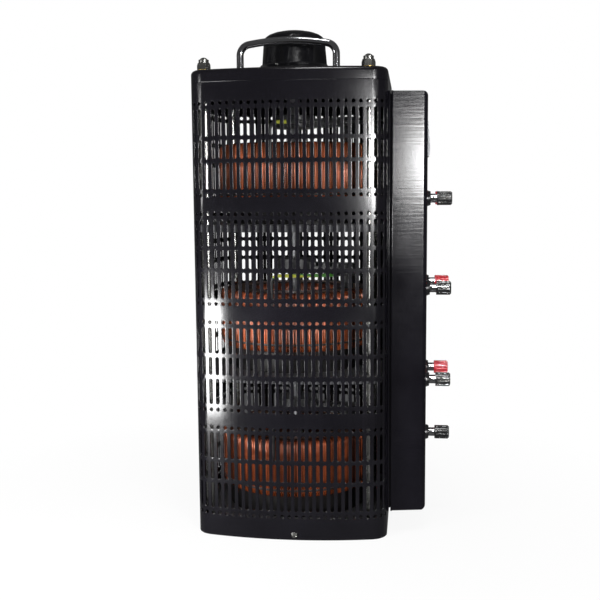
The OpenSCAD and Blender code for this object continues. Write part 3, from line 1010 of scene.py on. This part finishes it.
class TRANSFORMER_OT_top_fittings(bpy.types.Operator):
    """Models the knob, dial, handle, nuts and base screws"""

    bl_idname = "transformer.top_fittings"
    bl_label = "Knob, dial, handle and screws"

    def execute(self, context):
        s = context.scene.transformer_fitting
        refined("knob", "control_knob", FINISH["knob"], ROTOR, width=0.0012, angle=50)
        refined("dial_plate", "dial", FINISH["dial"], width=0.0002)
        refined("acorn_nuts", "nuts", FINISH["bright"], width=0.0003)
        refined("washers", "flat_washers", FINISH["zinc"], width=0.0002)
        handle = tube(handle_points(s), 0.004, sides=6)
        hand_over(handle, "handle", HOUSING, FINISH["chrome"], ["carry_handle"])
        self.print_dial(s)
        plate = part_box("knob")
        flange = plate[1].x
        zero = math.radians(s.zero_deg)
        pointer = radial_mark(zero, flange - 0.0055, flange - 0.0005, 0.0012, plate[0].z + 0.0055)
        hand_over(pointer, "pointer", ROTOR, FINISH["white"])
        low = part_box("wall_front")[0].y
        z = s.screw_height
        screws = [
            pan_screw(s, (0.0095, low, z), (90, 20, 0)),
            pan_screw(s, (0, -low, z), (-90, 35, 0)),
            pan_screw(s, (low, 0, z), (0, -90, 15)),
            pan_screw(s, (-low, 0, z), (0, 90, 50)),
        ]
        heads = join(screws)
        smooth(heads, 40)
        hand_over(heads, "base_screws", HOUSING, FINISH["bright"])
        return {"FINISHED"}

    def print_dial(self, s):
        """Ticks and figures on the dial's rim."""
        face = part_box("dial_plate")[1].z
        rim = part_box("dial_plate")[1].x - 0.0006
        marks = []
        steps = s.figures * 5
        for i in range(steps + 1):
            angle = math.radians(s.zero_deg - s.range_deg * i / steps)
            long_mark = i % 5 == 0
            marks.append(radial_mark(angle, rim - (0.0024 if long_mark else 0.0014), rim, 0.0004, face))
            if long_mark:
                deselect()
                bpy.ops.object.text_add(location=(0, 0, 0))
                text = bpy.context.object
                text.data.body = str(i // 5 * 10)
                text.data.size = 0.0036
                text.data.align_x = "CENTER"
                text.data.align_y = "CENTER"
                text.data.extrude = 0.00005
                choose(text)
                bpy.ops.object.convert(target="MESH")
                text = bpy.context.object
                text.rotation_euler = (0, 0, angle - math.pi / 2)
                text.location = (math.cos(angle) * (rim - 0.0045), math.sin(angle) * (rim - 0.0045), face)
                settle(text)
                marks.append(text)
        scale = join(marks)
        hand_over(scale, "dial_print", HOUSING, FINISH["ink"])


class TRANSFORMER_OT_terminal_box(bpy.types.Operator):
    """Models the folded box on its flange, its meter and its binding posts"""

    bl_idname = "transformer.terminal_box"
    bl_label = "Terminal box"

    def execute(self, context):
        s = context.scene.transformer_fitting
        low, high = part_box("terminal_box")
        slope = s.taper / (high.x - low.x)

        def side_at(x):
            return high.y - slope * (x - low.x)

        start = low.x + s.flange + s.gap
        wide = side_at(start)
        cover = block((start, -wide, low.z), (high.x, wide, high.z))
        edit(cover)
        for side in (-1, 1):
            pick_verts(cover, lambda co: co.x > high.x - 1e-5 and co.y * side > 0)
            bpy.ops.transform.translate(value=(0, -side * (wide - side_at(high.x)), 0))

        def is_outer(edge):
            return all(cover.data.vertices[i].co.x > high.x - 1e-5 for i in edge.vertices)

        pick(cover, "edges", is_outer)
        bpy.ops.mesh.bevel(offset=s.box_edge, segments=6, affect="EDGES")
        pick_faces(cover, lambda co, no: no.x < -0.9)
        bpy.ops.mesh.delete(type="FACE")
        bpy.ops.object.mode_set(mode="OBJECT")
        shell = cover.modifiers.new("Shell", "SOLIDIFY")
        shell.thickness = 0.0015
        shell.offset = -1
        apply_all(cover)
        studs = []
        for stud in self.post_places():
            studs.append(turned([(0.0032, -0.004), (0.0032, 0.004)], 24, (high.x, *stud), (0, 90, 0)))
        cut_with(cover, join(studs))
        bevel(cover, 0.0006, 3, 35)
        smooth(cover, 50)
        even_normals(cover)
        hand_over(cover, "side_box", HOUSING, FINISH["box"], ["terminal_box"])
        rims = [
            self.frame(
                low.x, low.x + s.flange, side_at(low.x) + 0.0003, low.z - 0.0003, high.z + 0.0003, 0.012
            ),
            self.frame(start, start + 0.0016, wide + 0.0004, low.z - 0.0004, high.z + 0.0004, 0.0012),
            self.frame(
                low.x + s.flange - 0.0002, start + 0.004, wide - 0.003, low.z + 0.003, high.z - 0.003, 0.0015
            ),
        ]
        for rim in rims[:2]:
            bevel(rim, 0.0005, 3, 35)
            smooth(rim, 60)
        hand_over(join(rims), "box_rims", HOUSING, FINISH["box"])
        refined("post_collars", "collars", FINISH["black"], width=0.0003)
        refined("post_studs", "studs", FINISH["chrome"], width=0.0003)
        refined("post_caps_black", "caps_black", FINISH["black"], width=0.0002)
        refined("post_caps_red", "caps_red", FINISH["red"], width=0.0002)
        self.model_meter()
        return {"FINISHED"}

    def post_places(self):
        """Heights and sideways places of the posts, read from the studs' own mesh."""
        mesh = NODES["post_studs"].data
        tip = max(v.co.x for v in mesh.vertices)
        places = {}
        for v in mesh.vertices:
            if v.co.x > tip - 1e-4:
                places.setdefault((round(v.co.y / 0.02), round(v.co.z / 0.03)), []).append(v.co)
        middles = []
        for points in places.values():
            middle = sum(points, Vector()) / len(points)
            middles.append((middle.y, middle.z))
        return middles

    def frame(self, x0, x1, half, z0, z1, border):
        """Flat rectangular frame round the box's outline."""
        rim = block((x0, -half, z0), (x1, half, z1))
        inner_low = (x0 - 0.01, -half + border, z0 + border)
        inner_high = (x1 + 0.01, half - border, z1 - border)
        cut_with(rim, block(inner_low, inner_high))
        return rim

    def model_meter(self):
        """Meter cover with a window sunk in its sloping face."""
        meter = refined("meter_cover", "meter", FINISH["meter"], width=0.0005)
        meter.data.materials.append(FINISH["glass"])
        edit(meter, "FACE")
        largest = max((f for f in meter.data.polygons if f.normal.x > 0.9), key=lambda f: f.area).index
        pick(meter, "polygons", lambda face: face.index == largest)
        bpy.ops.mesh.inset(thickness=0.0035)
        bpy.ops.mesh.inset(thickness=0.0004, depth=-0.0006)
        meter.active_material_index = 1
        bpy.ops.object.material_slot_assign()
        bpy.ops.object.mode_set(mode="OBJECT")


# ---------------------------------------------------------------- stage


def ray_level(tree, camera, transmission, glossy, other):
    """A value for each kind of ray: seen straight, through glass, in gloss, and any other."""
    path = tree.nodes.new("ShaderNodeLightPath").outputs
    level = None
    for kind, value in (("Camera", camera), ("Transmission", transmission), ("Glossy", glossy)):
        step = tree.nodes.new("ShaderNodeMath")
        step.operation = "MULTIPLY_ADD"
        tree.links.new(path[f"Is {kind} Ray"], step.inputs[0])
        step.inputs[1].default_value = value - other
        step.inputs[2].default_value = other
        if level:
            tree.links.new(level, step.inputs[2])
        level = step.outputs[0]
    return level


def white_seen(name, diffuse, glossy):
    """Floor that is white to the camera and dim in gloss, with a painted shadow: a dark strip drawn behind
    the object.
    """
    shadow_lean, shadow_spread, shadow_half, shadow_end = 0.126, 0.09, 0.12, 1.9
    n = Nodes(name)
    n.set(Roughness=0.9)
    strength = ray_level(n.tree, 1.0, 1.0, glossy, 0.0)
    glow = n.add("ShaderNodeEmission", {"Color": (1, 1, 1, 1), "Strength": strength}).outputs[0]
    spread = n.add("ShaderNodeVectorMath", {0: n.place()}, operation="LENGTH").outputs["Value"]
    near = n.ramp(spread, 0.9, 1.0, 0.1, 0.5)
    axes = n.add("ShaderNodeSeparateXYZ", {"Vector": n.place()}).outputs
    # Painted shadow: a soft-edged strip behind the object that widens with distance
    aside = n.math("ABSOLUTE", n.math("ADD", axes["X"], n.math("MULTIPLY", axes["Y"], shadow_lean)))
    reach = n.math("ADD", n.math("MULTIPLY", axes["Y"], shadow_spread), shadow_half)
    across = n.ramp(n.math("DIVIDE", aside, reach), 1.0, 0.0, 0.75, 1.0)
    behind = n.math("MULTIPLY", across, n.ramp(axes["Y"], 0.0, 1.0, 0.0, 0.1))
    strip = n.math("MULTIPLY", behind, n.ramp(axes["Y"], 1.0, 0.0, 1.1, shadow_end))
    # The strip takes a painted shadow's dark grey colour, and the white glow is taken out there
    n.set(Base_Color=n.blend(strip, diffuse, (0.12, 0.12, 0.125)))
    seen = n.math("MULTIPLY", ray_level(n.tree, 1.0, 1.0, 1.0, 0.0), near)
    factor = n.math("MULTIPLY", seen, n.math("SUBTRACT", 1.0, strip))
    mix = n.add("ShaderNodeMixShader", {0: factor, 1: n.shader.outputs[0], 2: glow}).outputs[0]
    n.tree.links.new(mix, n.tree.nodes["Material Output"].inputs["Surface"])
    return n.material


def lamp(name, place, aim, wide, tall, power):
    """A soft rectangular lamp."""
    deselect()
    bpy.ops.object.light_add(type="AREA", location=place)
    obj = bpy.context.object
    obj.name = name
    obj.data.shape = "RECTANGLE"
    obj.data.size = wide
    obj.data.size_y = tall
    obj.data.energy = power
    obj.rotation_euler = (Vector(aim) - Vector(place)).to_track_quat("-Z", "Y").to_euler()


def beam(name, place, aim, wide_deg, power):
    """A soft-edged spot on a small part of the object."""
    deselect()
    bpy.ops.object.light_add(type="SPOT", location=place)
    obj = bpy.context.object
    obj.name = name
    obj.data.energy = power
    obj.data.spot_size = math.radians(wide_deg)
    obj.data.spot_blend = 0.8
    obj.data.shadow_soft_size = 0.06
    obj.rotation_euler = (Vector(aim) - Vector(place)).to_track_quat("-Z", "Y").to_euler()


class TRANSFORMER_OT_stage(bpy.types.Operator):
    """Sets the floor, lamps, world and camera"""

    bl_idname = "transformer.stage"
    bl_label = "Stage"

    def execute(self, context):
        s = context.scene.transformer_stage
        scene = context.scene
        scene.view_settings.view_transform = "Standard"
        deselect()
        bpy.ops.mesh.primitive_plane_add(size=12, location=(0, 0, 0))
        floor = bpy.context.object
        floor.name = "floor"
        floor.data.materials.append(white_seen("floor_white", (0.9, 0.9, 0.9), s.glossy))
        lamp("key_lamp", (1.12, -1.82, 0.475), (0.05, 0, 0.42), 0.62, 0.2, 36)
        lamp("low_lamp", (-0.387, -0.494, 0.115), (-0.08, -0.1, 0.16), 0.16, 0.18, 5)
        lamp("left_lamp", (-1.5, -1.1, 0.5), (0, 0, 0.25), 0.3, 0.3, 5)
        lamp("top_lamp", (0.1, -0.7, 1.9), (0, 0, 0.3), 0.4, 0.3, 8)
        beam("box_lamp", (0.815, -1.96, 0.42), (0.215, -0.08, 0.385), 5, 2)
        beam("post_lamp", (0.25, -1.4, 0.95), (0.3, -0.05, 0.25), 14, 40)
        beam("coil_lamp", (-1.2, -1.5, 0.7), (-0.03, -0.08, 0.235), 4.8, 300)
        beam("upper_coil_lamp", (1.0, -1.7, 0.8), (0.01, -0.08, 0.405), 5.5, 30)
        world = bpy.data.worlds.new("surround")
        scene.world = world
        world.use_nodes = True
        tree = world.node_tree
        sky = tree.nodes["Background"]
        sky.inputs["Color"].default_value = (1, 1, 1, 1)
        tree.links.new(ray_level(tree, 1.0, 1.0, s.glossy, s.fill), sky.inputs["Strength"])
        bpy.ops.object.camera_add(location=s.eye)
        camera = bpy.context.object
        camera.data.sensor_width = 36
        camera.data.lens = s.lens
        tilt, roll, pan = s.turn
        turn = Matrix.Rotation(pan, 3, "Z") @ Matrix.Rotation(tilt, 3, "X") @ Matrix.Rotation(roll, 3, "Y")
        look = turn @ Matrix.Rotation(math.pi / 2, 3, "X")
        camera.rotation_euler = look.to_euler()
        camera.data.clip_start = 0.05
        scene.camera = camera
        return {"FINISHED"}


# ---------------------------------------------------------------- panel and registration


OPERATORS = [
    TRANSFORMER_OT_stage,
    TRANSFORMER_OT_cage,
    TRANSFORMER_OT_cover,
    TRANSFORMER_OT_coils,
    TRANSFORMER_OT_carriers,
    TRANSFORMER_OT_leads,
    TRANSFORMER_OT_top_fittings,
    TRANSFORMER_OT_terminal_box,
]
GROUPS = {
    "transformer_cage": CageSettings,
    "transformer_coil": CoilSettings,
    "transformer_fitting": FittingSettings,
    "transformer_finish": FinishSettings,
    "transformer_stage": StageSettings,
}


class TRANSFORMER_PT_panel(bpy.types.Panel):
    """Buttons and sizes in the 3D view's sidebar"""

    bl_label = "Transformer"
    bl_idname = "TRANSFORMER_PT_panel"
    bl_space_type = "VIEW_3D"
    bl_region_type = "UI"
    bl_category = "Transformer"

    def draw(self, context):
        for operator in OPERATORS:
            self.layout.operator(operator.bl_idname)
        for name, group in GROUPS.items():
            box = self.layout.box()
            for prop in group.__annotations__:
                box.prop(getattr(context.scene, name), prop)


def register():
    for cls in [*GROUPS.values(), *OPERATORS, TRANSFORMER_PT_panel]:
        bpy.utils.register_class(cls)
    for name, group in GROUPS.items():
        setattr(bpy.types.Scene, name, PointerProperty(type=group))


def unregister():
    for name in GROUPS:
        delattr(bpy.types.Scene, name)
    for cls in reversed([*GROUPS.values(), *OPERATORS, TRANSFORMER_PT_panel]):
        bpy.utils.unregister_class(cls)


def main():
    register()
    FINISH.update(make_finishes())
    for operator in OPERATORS:
        group, name = operator.bl_idname.split(".")
        getattr(getattr(bpy.ops, group), name)()


if __name__ == "__main__":
    main()
